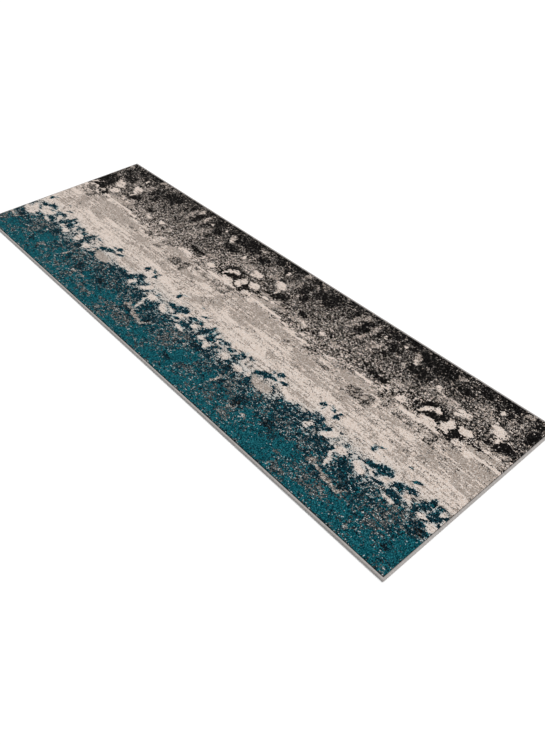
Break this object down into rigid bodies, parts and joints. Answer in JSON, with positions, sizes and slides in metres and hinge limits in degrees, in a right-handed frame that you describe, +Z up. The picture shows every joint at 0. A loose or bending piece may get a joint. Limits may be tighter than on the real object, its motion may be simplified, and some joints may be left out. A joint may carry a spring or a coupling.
{
  "type": "runner rug",
  "caption": "Long narrow cut-pile runner rug in an abstract teal, cream, taupe and charcoal design, with grey overcast edges and a woven back; folds in half.",
  "frame": {"origin": "on the floor under the middle of the rug, at the bottom centre of its box", "axes": "+X along the length towards the foot end, +Y across the width towards the charcoal long side, +Z up out of the pile"},
  "size_m": [2.4, 0.8, 0.0105],
  "materials": {
    "pile_yarn": "cut pile of heat-set synthetic yarn in teal, navy, cream, taupe and charcoal, soft sheen",
    "ground_yarn": "plain woven spun warp with a coarse jute-coloured weft",
    "latex": "thin matt latex size soaked into the woven back",
    "filler_cord": "soft twisted cord, hidden inside the overcast edge",
    "overcast_yarn": "light warm-grey bulked yarn, closely wound, soft sheen"
  },
  "bodies": {
    "foot_half": {"pile_foot": "pile_yarn", "ground_weave_foot": "ground_yarn", "latex_coat_foot": "latex", "filler_cord_teal_side_foot": "filler_cord", "filler_cord_charcoal_side_foot": "filler_cord", "end_filler_cord_foot": "filler_cord", "overcast_teal_side_foot": "overcast_yarn", "overcast_charcoal_side_foot": "overcast_yarn", "end_overcast_foot": "overcast_yarn"},
    "head_half": {"pile_head": "pile_yarn", "ground_weave_head": "ground_yarn", "latex_coat_head": "latex", "filler_cord_teal_side_head": "filler_cord", "filler_cord_charcoal_side_head": "filler_cord", "end_filler_cord_head": "filler_cord", "overcast_teal_side_head": "overcast_yarn", "overcast_charcoal_side_head": "overcast_yarn", "end_overcast_head": "overcast_yarn"}
  },
  "joints": [
    {"name": "middle_fold", "type": "hinge", "parent": "foot_half", "child": "head_half", "pos_m": [0, 0, 0.01065], "axis": [0, 1, 0], "range_deg": [0, 180]}
  ]
}
